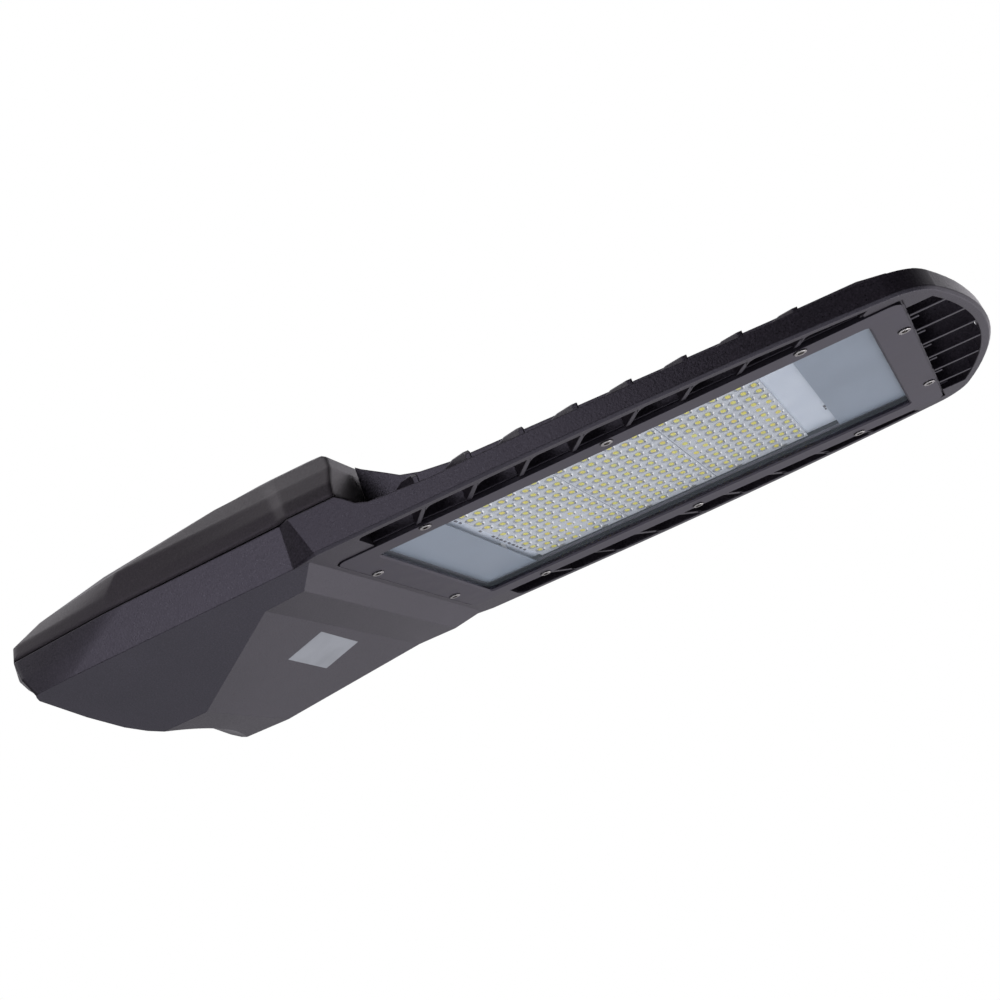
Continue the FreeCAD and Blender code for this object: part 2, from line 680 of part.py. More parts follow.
def gear_shell(name, inset):
    bend = 0 if inset else 250
    rears = [
        (-38, ((lowWaist, bend), (lowKnee, 5), (lowHeel, 14))),
        (g.rimZ, ((lowWaist, bend), (lowKnee, 5), (lowHeel, 14))),
        (20, ((midWaist, bend), (midKnee, 6), (midHeel, 30))),
        (g.partZ, ((topWaist, bend), (topKnee, 8), (topHeel, 45))),
    ]
    return loft(name, [gear_outline("%sLevel%d" % (name, i), level, g.headRearX, g.creaseFront, 170, g.creaseFront,
                                    rear, inset) for i, (level, rear) in enumerate(rears)])


def belly(name, rise, front, roof, shelf=False):
    # the compartment's side view, from the flat rim down to the lowest face
    low = g.bellyZ + rise
    back = [(-140, roof), (-140, 50), (-58.5, 1.2), (-46, -14.5), (-34, -25.9)]
    back = [(x + rise * 0.6, z + rise * 0.8 if i else z) for i, (x, z) in enumerate(back)]
    back.append((g.lipX + rise * 0.3, low))
    points = back + [(g.bellyFrontX, low)]
    if shelf:
        # inside, the room reaches forward over the end of the optical bay
        points = back + [(g.bellyFrontX + 1, low), (g.stepRearX + 0.5, g.stepRearZ + rise),
                  (g.stepFrontX - 2, g.stepFrontZ + rise), (g.rimRearX - 5.5, g.rimZ + rise), (g.rimRearX - 3.6, 24),
                  (g.headRearX - 4, 24), (g.headRearX - 4, roof)]
    else:
        points = points + [(g.stepRearX, g.stepRearZ), (g.stepFrontX, g.stepFrontZ), (g.rimRearX, g.rimZ),
                           (front, g.rimZ), (front, roof)]
    return extrude(name, draw(name + "Side", "XZ", 0, [("loop", points)]), 170, 170)


def facet(name, side, inset):
    # everything outside the sloping lower facet of one flank
    def section(title, x):
        slope = (g.creaseFront - g.creaseRear) / (g.shoulderRearX - g.creaseRearX)
        crease = g.creaseFront + (x - g.shoulderRearX) * slope - inset * 2.39 - 0.5
        deep, above = 50, 6
        shape = [(crease + g.facetRun * above, g.rimZ + above), (crease - g.facetRun * deep, g.rimZ - deep),
                 (260, g.rimZ - deep), (260, g.rimZ + above)]
        return draw(title, "YZ", x, [("loop", [(y * side, z) for y, z in shape])])
    return loft(name, [section(name + "Rear", -140), section(name + "Front", g.headRearX + 4)])


def trough(name, grow):
    # the shallow hollow down the rear face, which bows the rear edge of the lowest face and fades out upwards
    runX, runZ = 0.830, 0.557
    reach = g.lipHollow + grow
    x = g.lipSetX - g.lipHollow * runZ + 40 * runX
    z = g.bellyZ - g.lipHollow * runX - 40 * runZ
    solid = rod(name, reach, 190, x, 0, z)
    solid.Placement = FreeCAD.Placement(solid.Placement.Base, FreeCAD.Rotation(Vec(0, 1, 0), -56.13))
    return solid


outer = cut("GearOuter", common("GearBlank", [gear_shell("GearShell", 0), belly("GearBelly", 0, g.headRearX, 60)]),
            [facet("FacetNear", -1, 0), facet("FacetFar", 1, 0), trough("Trough", 0)])
room = cut("GearRoom", common("RoomBlank", [gear_shell("RoomShell", g.wall), belly("RoomBelly", g.wall, 0, 60, True)]),
           [facet("RoomFacetNear", -1, g.wall), facet("RoomFacetFar", 1, g.wall), trough("RoomTrough", g.wall)])

# flange that carries the cover seal, posts for the cover screws, the tray bosses and the socket tube
def parting_plan(name, level, inset):
    # the compartment's outline at the parting face, set in
    return gear_outline(name, level, g.headRearX, g.creaseFront, 170, g.creaseFront, top_rear(inset), inset)


band = cut("FlangeRing", extrude("FlangeBlank", parting_plan("FlangePlan", g.partZ - 4, 0.6), 4),
           [extrude("FlangeHole", parting_plan("FlangeHolePlan", g.partZ - 5, g.flange.value), 6)])
band = common("Flange", [band, outer])
posts = [(g.postFrontX, g.postFrontY), (g.postRearX, g.postRearY)]
inner_work = [rod("Socket", g.socketR + g.socketWall, g.socketDeep + g.socketStop + 120, -120, 0, 0, "X")]
for i, (x, y) in enumerate(posts):
    for side in (-1, 1):
        inner_work.append(peg("Post%d%s" % (i, "Near" if side < 0 else "Far"), 10, g.postR, 90, x, y * side, g.partZ - 90))
trayScrews = [(x, g.trayScrewY * side) for x in (g.trayScrewFrontX, g.trayScrewRearX) for side in (-1, 1)]
for i, (x, y) in enumerate(trayScrews):
    inner_work.append(peg("TrayBoss%d" % i, 8, 5.5, 60, x, y, g.trayZ - 60))
for name, x in (("ClampBossRear", g.clampRearX), ("ClampBossFront", g.clampFrontX)):
    inner_work.append(peg(name, 12, g.clampBossR, g.clampBossZ - 20, x, 0, 20))
inner_work.append(peg("EarthBoss", 8, 6, 60, 60, 125, -48))
inner = common("InnerWork", [
    group("InnerBlanks", inner_work),
    group("InnerLimit", [outer, block("InnerLimitTop", 320, 240, 30, -60, -120, 30)]),
])
tray_room = cut("GearHollow", room, [inner])

frameScrews = [(g.bayX + g.frameScrewX * i, frameScrewY * side) for side in (-1, 1) for i in (-1, 0, 1)]
frameScrews += [(g.bayX + endScrewX * i, g.endScrewY * side) for side in (-1, 1) for i in (-1, 1)]
seatZ = g.frameFaceZ + g.frameThick
glassHalfX = g.windowLen / 2 + g.glassLap
glassHalfY = g.windowWide / 2 + g.glassLap
glassBackZ = seatZ + g.glassThick
ledgeZ = glassBackZ + g.sealThick
cavityHalfX = glassHalfX + g.glassGap - g.sealWide
cavityHalfY = glassHalfY + g.glassGap - g.sealWide
lensScrews = [(g.lensFirstX + g.lensLen / 2 + g.lensPitch * module + g.lensScrewX * i, g.lensScrewY * side)
              for module in range(3) for i in (-1, 1) for side in (-1, 1)]

frameHalfX = frameLen / 2 + g.frameGap
frameHalfY = frameWide / 2 + g.frameGap
cuts = [
    extrude("FrameRecess", draw("FrameRecessPlan", "XY", seatZ - 20, [box_loop(g.bayX, 0, frameHalfX, frameHalfY,
            g.frameRound + g.frameGap)]), 20),
    extrude("GlassSeat", draw("GlassSeatPlan", "XY", seatZ - 1, [cut_loop(g.bayX, 0, glassHalfX + g.glassGap,
            glassHalfY + g.glassGap, 5)]), ledgeZ - seatZ + 1),
    extrude("LightBay", draw("LightBayPlan", "XY", ledgeZ - 1, [box_loop(g.bayX, 0, cavityHalfX, cavityHalfY)]),
            g.bayCeilZ - ledgeZ + 1),
    block("LeadPassage", 40, g.leadSpread + 7, g.leadR * 2 + 1.2, 166, g.leadY - (g.leadSpread + 7) / 2,
          g.leadZ - g.leadR - 0.6),
    rod("SocketBore", g.socketR, g.socketDeep + 130, -130, 0, 0, "X"),
    rod("CordHole", g.cordHoleR, 20, g.socketDeep - 10, 0, 0, "X"),
]
coverScrews = [(x, y * side) for x, y in posts for side in (-1, 1)]
clampSpots = [(g.clampRearX, 0), (g.clampFrontX, 0)]
earthSpot = (60, 125)
cuts += pegs("FrameScrewHole", 8, g.frameShankD / 2 + g.fit, g.frameShankLong, frameScrews, seatZ - 0.5)
cuts += pegs("LensScrewHole", 6, g.lensScrewD / 2 + g.fit, 4, lensScrews, g.bayCeilZ - 0.5)
cuts += pegs("PostHole", 8, g.coverScrewD / 2 + g.fit, 14, coverScrews, g.partZ - 13)
cuts += pegs("TrayScrewHole", 6, g.smallScrewD / 2 + g.fit, 9, trayScrews, g.trayZ - 8)
cuts += pegs("ClampHole", 12, g.clampD / 2 + g.fit, 40, clampSpots, 25)
cuts += pegs("EarthHole", 6, g.smallScrewD / 2 + g.fit, 10, [earthSpot], 3)

casting = fuse("Casting", [rim, bay, fins, ribs, shoulder("ShoulderNear", -1), shoulder("ShoulderFar", 1),
                           cut("GearTray", outer, [tray_room]), band, inner])
housing = node("lower_housing", cut("LowerHousing", casting, cuts))
housing.Refine = False


# Top cover
def cover_shell(name, inset):
    # four levels joined into a low dome with leaning sides, drawn in more and more towards the rear
    low = g.partZ + g.partGap if inset == 0 else g.partZ - 2
    levels = [
        (low, 0, 0, 4.3, (topWaist, topKnee, topHeel), (8, 45)),
        (47, 0.4, 3.6, 3.4, ((18, 145), (-72.5, 131.2), (-103, 82)), (10, 42)),
        (60, 0.8, 12, 2.2, ((30, 142.8), (-58, 117.8), (-90, 74)), (22, 36)),
        (75, 7, 27, 0.8, ((108, 129), (-8, 104.8), (-66, 62)), (40, 30)),
        (86, 18, 52, 0.4, ((108, 101.5), (10, 79), (-40, 50)), (30, 26)),
    ]
    plans = []
    for i, (level, front, side, step, (waist, knee, heel), (knee_r, heel_r)) in enumerate(levels):
        half = g.headHalf - g.flankLean - side
        rear = ((waist, 0), (knee, knee_r), (heel, heel_r))
        plans.append(gear_outline("%sLevel%d" % (name, i), level, g.coverFrontX - front, half,
                                  g.shoulderTopX - side * 0.5, half - step, rear, inset))
    return loft(name, plans)


def cover_side(name, drop):
    low = g.partZ - 5
    return extrude(name, draw(name + "Line", "XZ", 0, [("loop", [
        (-112 + drop, low), (g.coverFrontX + 2 - drop, low), (g.coverFrontX - drop, g.partZ), (205.5 - drop, 62 - drop * 0.3),
        (200.5 - drop, 72 - drop * 0.5), (191 - drop * 0.8, 79 - drop * 0.7), (179 - drop * 0.5, g.coverTopZ - drop),
        (112, g.coverTopZ + 0.4 - drop), (62, 80.4 - drop), (10, 76.6 - drop), (-40, 70.5 - drop),
        (-76 + drop * 0.5, 64 - drop), (-94 + drop, 56 - drop * 0.8), (-105 + drop, 45 - drop * 0.4),
    ])]), 170, 170)


coverOuter = common("CoverOuter", [cover_shell("CoverShell", 0), cover_side("CoverSide", 0)])
coverRoom = common("CoverRoom", [cover_shell("CoverHollow", g.coverThick), cover_side("CoverHollowSide", g.coverThick)])
collarZ = g.partZ + g.sealHigh


def collar_plan(name, level, inset):
    # the cover's own outline, set in
    return gear_outline(name, level, g.coverFrontX, g.headHalf - g.flankLean, g.shoulderTopX, g.creaseFront,
                        top_rear(inset), inset)


collar = cut("CoverCollar", extrude("CollarBlank", collar_plan("CollarPlan", collarZ, 2), 3),
             [extrude("CollarHole", collar_plan("CollarHolePlan", collarZ - 1, g.flange.value + 1), 5)])
coverPosts = pegs("CoverPost", 10, g.postR, 60, coverScrews, g.partZ)
coverInner = common("CoverInner", [group("CoverInnerBlanks", [collar] + coverPosts), group("CoverLimit", [coverOuter,
                    block("CoverLimitLow", 250, 230, 4, -45, -115, g.partZ)])])
coverCuts = pegs("CoverHole", 8, g.coverScrewD / 2 + 0.3, 60, coverScrews, g.partZ - 5)
coverCuts += pegs("CoverWell", 10, g.coverHeadD / 2 + 0.6, 60, coverScrews, g.coverSeatZ)
cover = node("top_cover", cut("TopCover", fuse("CoverCasting", [cut("CoverSkin", coverOuter, [coverRoom]), coverInner]), coverCuts))

# Cover seal
node("cover_gasket", cut("CoverGasket",
     extrude("SealBlank", parting_plan("SealOuter", g.partZ, g.sealSet.value), g.sealHigh),
     [extrude("SealHole", parting_plan("SealInner", g.partZ - 1, g.sealSet.value + g.sealBand.value), g.sealHigh + 2)]))


def screw(name, shank_d, long, head_d, head_high, flats=0):
    # a plain screw standing point down, its seat at the origin; flats sinks a hexagon socket in its head
    solid = fuse(name + "Solid", [peg(name + "Shank", 8 if flats else 6, Size.of(shank_d) / 2, long, 0, 0, -Size.of(long)),
                                  peg(name + "Head", 12 if flats else 8, Size.of(head_d) / 2, head_high, 0, 0, 0)])
    if not flats:
        return solid
    return cut(name, solid, [hexagon(name + "Key", flats, Size.of(head_high), 0, 0, Size.of(head_high) * 0.4)])


def upside_down(name, what):
    turned = doc.addObject("App::Link", name)
    turned.LinkedObject = what
    turned.Placement = FreeCAD.Placement(Vec(0, 0, 0), FreeCAD.Rotation(Vec(1, 0, 0), 180))
    solid = doc.addObject("Part::Compound", name + "Piece")
    solid.Links = [turned]
    return solid


coverScrew = screw("CoverScrew", g.coverScrewD, g.coverScrewLong, g.coverHeadD, 5, 4)
node("cover_screws", copies("CoverScrews", coverScrew, [(x, y, g.coverSeatZ) for x, y in coverScrews]))

# Glass frame, pane and flat seal
headSeatZ = g.frameHeadZ + g.frameHeadHigh
frame = slab("GlassFrame", [box_loop(g.bayX, 0, frameLen / 2, frameWide / 2, g.frameRound),
             box_loop(g.bayX, 0, g.windowLen / 2, g.windowWide / 2, 4)], g.frameFaceZ, g.frameThick)
edges = []
for i, edge in enumerate(frame.Shape.Edges, start=1):
    box = edge.BoundBox
    inside = (abs(box.YMin) < g.windowWide.value / 2 + 0.01 and abs(box.YMax) < g.windowWide.value / 2 + 0.01
              and box.XMin > g.bayX.value - g.windowLen.value / 2 - 0.01
              and box.XMax < g.bayX.value + g.windowLen.value / 2 + 0.01)
    if inside and box.ZMax < g.frameFaceZ.value + 0.01:
        edges.append("Edge%d" % i)
plate = frame.Tip
bevel = frame.newObject("PartDesign::Chamfer", "GlassFrameBevel")
bevel.Base = (plate, edges)
bind(bevel, "Size", g.windowBevel)
frame.Tip = bevel
node("glass_frame", cut("FrameWithHoles", frame,
     pegs("FrameHole", 8, g.frameShankD / 2 + 0.3, g.frameThick + 2, frameScrews, g.frameFaceZ - 1)
     + pegs("FrameSeat", 16, g.frameHeadSink / 2, headSeatZ - g.frameFaceZ + 1, frameScrews, g.frameFaceZ - 1)))
node("glass_pane", slab("GlassPane", [cut_loop(g.bayX, 0, glassHalfX, glassHalfY, 4)], seatZ, g.glassThick))
node("glass_gasket", slab("GlassSeal", [cut_loop(g.bayX, 0, glassHalfX, glassHalfY, 4),
     box_loop(g.bayX, 0, cavityHalfX, cavityHalfY)], glassBackZ, g.sealThick))
frameScrew = upside_down("FrameScrewTurned", screw("FrameScrew", g.frameShankD, g.frameShankLong, g.frameHeadD,
                                                     g.frameHeadHigh, 3))
node("frame_screws", copies("FrameScrews", frameScrew, [(x, y, headSeatZ) for x, y in frameScrews]))

# Masking sheets bonded to the inner face of the glass
maskRear = g.bayX - cavityHalfX + 1
maskFront = g.bayX + cavityHalfX - 1
for label, name, low, high in (("rear_mask_sheet", "RearMask", maskRear, g.maskInnerRear),
                               ("front_mask_sheet", "FrontMask", g.maskInnerFront, maskFront)):
    node(label, slab(name, [box_loop((low + high) / 2, 0, (high - low) / 2, g.maskHalf)], glassBackZ, g.maskThick))

# Light engine
boardX = (g.boardRearX + g.boardFrontX) / 2
boardHalfX = (g.boardFrontX - g.boardRearX) / 2
padLow = g.bayCeilZ - g.padThick
boardLow = padLow - g.boardThick
lensLow = boardLow - g.lensDeep
node("thermal_pad", cut("ThermalPad", slab("PadSheet", [box_loop(boardX, 0, boardHalfX, g.boardHalf)], padLow, g.padThick),
     pegs("PadHole", 6, g.lensScrewD / 2 + 0.3, g.padThick + 2, lensScrews, padLow - 1)))
node("led_board", cut("LedBoard", slab("BoardSheet", [box_loop(boardX, 0, boardHalfX, g.boardHalf)], boardLow, g.boardThick),
     pegs("BoardHole", 6, g.lensScrewD / 2 + 0.3, g.boardThick + 2, lensScrews, boardLow - 1)))
chip = block("LedChip", g.chipWide, g.chipLong, g.chipHigh, 0, 0, 0)
column = copies("LedColumn", chip, [(-g.chipWide / 2, g.chipRow * (i - 5.75) - g.chipLong / 2, -g.chipHigh) for i in range(12)])
module = copies("LedModule", column, [(g.chipColumn * (i - 3.5), g.chipRow * (0.5 * (i % 2)), 0) for i in range(8)])
lensMiddles = [g.lensFirstX + g.lensLen / 2 + g.lensPitch * i for i in range(3)]
node("led_chips", copies("LedChips", module, [(x, 0, boardLow) for x in lensMiddles]))
for i, (label, x) in enumerate(zip(("lens_rear", "lens_middle", "lens_front"), lensMiddles)):
    holes = [(x + g.lensScrewX * k, g.lensScrewY * side) for k in (-1, 1) for side in (-1, 1)]
    plate = slab("LensPlate%d" % i, [box_loop(x, 0, g.lensLen / 2, g.lensHalf)], lensLow, g.lensDeep,
                 [("Hollow", [box_loop(x, 0, g.lensLen / 2 - 1.6, g.lensHollow)], boardLow, g.lensDeep - g.lensSkin, False)])
    node(label, cut("Lens%d" % i, plate, pegs("Lens%dHole" % i, 6, g.lensScrewD / 2 + 0.3, g.lensDeep + 2, holes, lensLow - 1)))
lensScrew = upside_down("LensScrewTurned", screw("LensScrew", g.lensScrewD, g.lensScrewLong, g.lensHeadD, g.lensHeadHigh))
node("lens_screws", copies("LensScrews", lensScrew, [(x, y, lensLow) for x, y in lensScrews]))

# Connector, leads and grommet between driver and light engine
plugX = g.boardRearX + 0.4
node("board_connector", cut("BoardConnector",
     block("BoardConnectorBody", 5, g.leadSpread + 6, 2.8, plugX, g.leadY - (g.leadSpread + 6) / 2, boardLow - 2.8),
     [block("BoardConnectorWay%d" % i, 3, 1.8, 1.8, plugX, g.leadY + g.leadSpread * (i - 0.5) - 0.9, boardLow - 2.3)
      for i in range(2)]))
grommetX = g.rimRearX + 1
passHalf = (g.leadSpread + 7) / 2
passHigh = g.leadR * 2 + 1.2
node("lead_grommet", cut("LeadGrommet",
     block("LeadGrommetBody", 12, passHalf * 2, passHigh, grommetX, g.leadY - passHalf, g.leadZ - passHigh / 2),
     [block("LeadGrommetWay%d" % i, 14, g.leadR * 2, g.leadR * 2, grommetX - 1,
            g.leadY + g.leadSpread * (i - 0.5) - g.leadR, g.leadZ - g.leadR) for i in range(2)]))


def lead(name, points, radius):
    # an insulated lead swept along straight runs joined by bends, starting along X, with a six-sided section
    wire = doc.addObject("Part::Feature", name)
    spots = [Vec(*[Size.of(v).value for v in point]) for point in points]
    radius = Size.of(radius).value
    edges, start = [], spots[0]
    for i in range(1, len(spots) - 1):
        back = (spots[i - 1] - spots[i]).normalize()
        ahead = (spots[i + 1] - spots[i]).normalize()
        bend = min(5.0, (spots[i - 1] - spots[i]).Length / 2.2, (spots[i + 1] - spots[i]).Length / 2.2)
        first, last = spots[i] + back * bend, spots[i] + ahead * bend
        half = math.acos(max(-1, min(1, back.dot(ahead)))) / 2
        out = bend / math.cos(half)
        centre = spots[i] + (back + ahead).normalize() * out
        middle = centre + (spots[i] - centre).normalize() * (bend * math.tan(half))
        edges += [Part.makeLine(start, first), Part.Arc(first, middle, last).toShape()]
        start = last
    edges.append(Part.makeLine(start, spots[-1]))
    path = Part.Wire(edges)
    around = [Vec(0, math.cos(math.radians(60 * k)), math.sin(math.radians(60 * k))) * radius for k in range(7)]
    section = Part.makePolygon([spots[0] + spoke for spoke in around])
    wire.Shape = path.makePipeShell([section], True, False)
    return wire


driverLow = g.trayZ + g.trayThick
driverFront = g.driverX + g.driverWide / 2
leads = []
for i in range(2):
    y = g.leadY + g.leadSpread * (i - 0.5)
    leads.append(lead("LedLead%d" % i, [(driverFront, y, driverLow + 20), (driverFront + 5.5, y, driverLow + 20),
                                        (driverFront + 5.5, y, g.leadZ), (plugX - 8, y, g.leadZ),
                                        (plugX - 3.5, y, boardLow - 1.4), (plugX - 0.2, y, boardLow - 1.4)], g.leadR))
leadPair = doc.addObject("Part::Compound", "LedLeads")
leadPair.Links = leads
node("led_leads", leadPair)

# Gear tray with the driver, surge protector, terminal block and cord clamp on it
driverScrews = [(g.driverX, (g.driverLen / 2 + 7) * side) for side in (-1, 1)]
surgeX, surgeY = 55, 78
blockX, blockY = 52, -80
clampX, clampY = 22, -64
clampScrews = [(clampX, clampY + 13 * side) for side in (-1, 1)]
trayPlate = slab("GearTrayPlate", [("loop", [
    (g.trayRearX, g.trayArmY), (g.trayNeckX, g.trayArmY), (g.trayNeckX, -g.trayArmY), (g.trayRearX, -g.trayArmY),
    (g.trayRearX, -g.trayHalf), (g.trayFrontX, -g.trayHalf), (g.trayFrontX, g.trayHalf), (g.trayRearX, g.trayHalf),
])], g.trayZ, g.trayThick)
node("gear_tray", cut("GearTraySheet", trayPlate,
     pegs("TrayHole", 6, g.smallScrewD / 2 + 0.3, g.trayThick + 2, trayScrews, g.trayZ - 1)
     + pegs("TrayThread", 6, g.smallScrewD / 2 + g.fit, g.trayThick + 2, driverScrews + clampScrews, g.trayZ - 1)))
smallScrew = screw("SmallScrew", g.smallScrewD, 9, g.smallHeadD, g.smallHeadHigh)
node("tray_screws", copies("TrayScrews", smallScrew, [(x, y, driverLow) for x, y in trayScrews]))
driver = fuse("DriverSolid", [
    block("DriverBody", g.driverWide, g.driverLen, g.driverHigh, g.driverX - g.driverWide / 2, -g.driverLen / 2, driverLow),
    block("DriverFoot", 22, g.driverLen + 28, 2, g.driverX - 11, -(g.driverLen + 28) / 2, driverLow),
])
driver = cut("DriverCase", driver, pegs("DriverHole", 6, 2.3, 6, driverScrews, driverLow - 2)
             + [block("DriverOutlet%d" % i, 3, g.leadR * 2, g.leadR * 2, driverFront - 2,
                      g.leadY + g.leadSpread * (i - 0.5) - g.leadR, driverLow + 20 - g.leadR) for i in range(2)])
node("driver", driver)
shortScrew = screw("ShortScrew", g.smallScrewD, 5, g.smallHeadD, g.smallHeadHigh)
node("driver_screws", copies("DriverScrews", shortScrew, [(x, y, driverLow + 2) for x, y in driverScrews]))
node("surge_protector", slab("SurgeBody", [cut_loop(surgeX, surgeY, 25, 15, 3)], driverLow, 28))
node("terminal_block", cut("TerminalBlock",
     block("TerminalBody", 30, 24, 16, blockX - 15, blockY - 12, driverLow),
     pegs("TerminalWell", 8, 2.4, 6, [(blockX - 10 + 10 * i, blockY) for i in range(3)], driverLow + 11)
     + [block("TerminalWay%d" % i, 8, 3.2, 3.2, blockX + 8, blockY - 8.6 + 7 * i, driverLow + 4.4) for i in range(3)]))
node("terminal_screws", copies("TerminalScrews", peg("TerminalScrewBody", 8, 2.2, 2, 0, 0, 0),
     [(blockX - 10 + 10 * i, blockY, driverLow + 11) for i in range(3)]))
saddle = cut("CordClamp", fuse("SaddleBlank", [
    block("SaddleBar", 10, 36, 3, clampX - 5, clampY - 18, driverLow + 5),
    block("SaddleFootNear", 10, 8, 5, clampX - 5, clampY - 18, driverLow),
    block("SaddleFootFar", 10, 8, 5, clampX - 5, clampY + 10, driverLow),
]), pegs("SaddleHole", 6, 2.3, 12, clampScrews, driverLow - 1))
node("cord_clamp", saddle)
clampScrew = screw("ClampScrew", g.smallScrewD, 10.5, g.smallHeadD, g.smallHeadHigh)
node("cord_clamp_screws", copies("ClampScrews", clampScrew, [(x, y, driverLow + 8) for x, y in clampScrews]))
supply = []
for i in range(3):
    y = blockY - 7 + 7 * i
    supply.append(lead("SupplyLead%d" % i, [(blockX + 11, y, driverLow + 6), (g.driverX - g.driverWide / 2, y, driverLow + 6)], 1.5))
supplyGroup = doc.addObject("Part::Compound", "SupplyLeads")
supplyGroup.Links = supply
node("supply_leads", supplyGroup)
node("earth_screw", copies("EarthScrews", smallScrew, [(*earthSpot, 12)]))

# Spigot clamp: two bolts through the tube, each with a lock nut
boltLong = g.clampBossZ + 14 - g.socketR - 0.4
bolt = fuse("ClampBolt", [peg("ClampBoltShank", 12, g.clampD / 2, boltLong, 0, 0, -boltLong),
                          hexagon("ClampBoltHead", g.clampFlats, 5.3, 0, 0, 0)])
nut = cut("ClampNut", hexagon("ClampNutBody", g.clampFlats, 6.5, 0, 0, 0),
          [peg("ClampNutHole", 12, g.clampD / 2 + g.fit, 8, 0, 0, -1)])
node("clamp_bolts", copies("ClampBolts", bolt, [(x, y, g.clampBossZ + 14) for x, y in clampSpots]))
node("clamp_nuts", copies("ClampNuts", nut, [(x, y, g.clampBossZ) for x, y in clampSpots]))

doc.recompute()
faults = []
for obj in doc.Objects:
    state = getattr(obj, "State", [])
    if "Invalid" in state or "Error" in state:
        faults.append("%s %s" % (obj.Name, state))
for label, obj in nodes.items():
    shape = obj.Shape
    if shape.isNull() or not shape.isValid() or not shape.Solids:
        faults.append("%s has no sound solid" % label)
if faults:
    raise SystemExit("\n".join(faults))

os.makedirs("parts", exist_ok=True)
for label, obj in nodes.items():
    shape = obj.Shape
    shape.exportStep(os.path.join("parts", label + ".step"))
    print("%-22s solids %3d  volume %10.0f" % (label, len(shape.Solids), shape.Volume))
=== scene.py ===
import bpy
import numpy as np
from mathutils import Matrix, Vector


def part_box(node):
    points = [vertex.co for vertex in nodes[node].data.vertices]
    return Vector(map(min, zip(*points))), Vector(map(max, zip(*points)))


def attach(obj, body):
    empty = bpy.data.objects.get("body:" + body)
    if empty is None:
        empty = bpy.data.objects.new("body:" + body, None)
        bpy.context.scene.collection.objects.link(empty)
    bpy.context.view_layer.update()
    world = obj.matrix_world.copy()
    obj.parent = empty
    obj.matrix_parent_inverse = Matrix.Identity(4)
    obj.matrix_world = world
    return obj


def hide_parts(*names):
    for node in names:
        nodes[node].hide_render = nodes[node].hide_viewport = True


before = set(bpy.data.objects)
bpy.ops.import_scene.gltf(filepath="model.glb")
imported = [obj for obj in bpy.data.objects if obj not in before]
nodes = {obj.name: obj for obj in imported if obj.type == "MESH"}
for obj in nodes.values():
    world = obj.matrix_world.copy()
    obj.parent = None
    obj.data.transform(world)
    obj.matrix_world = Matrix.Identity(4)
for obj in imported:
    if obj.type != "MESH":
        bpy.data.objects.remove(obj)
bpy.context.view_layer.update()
print("frame loaded,", len(nodes), "nodes")


# camera: where the picture was taken from, below and in front of the near side
camera = {
    "place": (0.57508, -1.08107, -0.30482),
    "right": (0.87492066, 0.35493115, -0.32945063),
    "down": (-0.40594677, 0.16660311, -0.89858256),
    "ahead": (-0.26404744, 0.91992787, 0.28984766),
    "lens": 58.28,
}


def placeCamera(c):
    data = bpy.data.cameras.new("viewpoint")
    data.lens = c["lens"]
    data.sensor_width = 36
    data.clip_start = 0.01
    data.clip_end = 50
    view = bpy.data.objects.new("viewpoint", data)
    bpy.context.scene.collection.objects.link(view)
    axes = np.column_stack([c["right"], -np.array(c["down"]), -np.array(c["ahead"])])
    spin = Matrix([[float(v) for v in row] for row in axes]).to_quaternion().normalized()
    view.matrix_world = Matrix.Translation(c["place"]) @ spin.to_matrix().to_4x4()
    bpy.context.scene.camera = view


placeCamera(camera)


# colours are written as on a paint card and turned to linear here
def colour(hexText):
    parts = np.array([int(hexText[i:i + 2], 16) for i in (1, 3, 5)]) / 255
    linear = np.where(parts <= 0.04045, parts / 12.92, ((parts + 0.055) / 1.055) ** 2.4)
    return (*[float(v) for v in linear], 1.0)


def newMaterial(name):
    material = bpy.data.materials.new(name)
    material.use_nodes = True
    material.node_tree.nodes.clear()
    return material, material.node_tree


def add(tree, kind, settings=None, **links):
    # one node with its settings; a link or a value goes to the socket of the same name, or its number after "i"
    node = tree.nodes.new(kind)
    for key, value in (settings or {}).items():
        setattr(node, key, value)
    for key, value in links.items():
        socket = node.inputs[int(key[1:])] if key[0] == "i" and key[1:].isdigit() else node.inputs[key.replace("_", " ")]
        if isinstance(value, bpy.types.NodeSocket):
            tree.links.new(value, socket)
        else:
            socket.default_value = value
    return node


def ramp(tree, factor, stops):
    node = add(tree, "ShaderNodeValToRGB", i0=factor)
    while len(node.color_ramp.elements) < len(stops):
        node.color_ramp.elements.new(0.5)
    for element, (at, shade) in zip(node.color_ramp.elements, stops):
        element.position = at
        element.color = colour(shade)
    return node.outputs["Color"]


def finishWith(tree, shader):
    add(tree, "ShaderNodeOutputMaterial", Surface=shader)


# polyester powder coat on a die casting: blown on, baked to a fine pimpled skin; specks catch the light, and the
# shading is rounded over the corners so they catch a little more light
powderCoat = {
    "casting": {"dark": "#1d1a1f", "mid": "#2a262c", "light": "#3d3840", "grain": 0.0012, "pimple": 0.0002, "rough": 0.34,
                "sheen": "#f6efff", "edge": 0.0012},
    "cover": {"dark": "#1c191b", "mid": "#272326", "light": "#383235", "grain": 0.0012, "pimple": 0.0002, "rough": 0.44,
              "sheen": "#fbf0fa", "edge": 0.005},
}


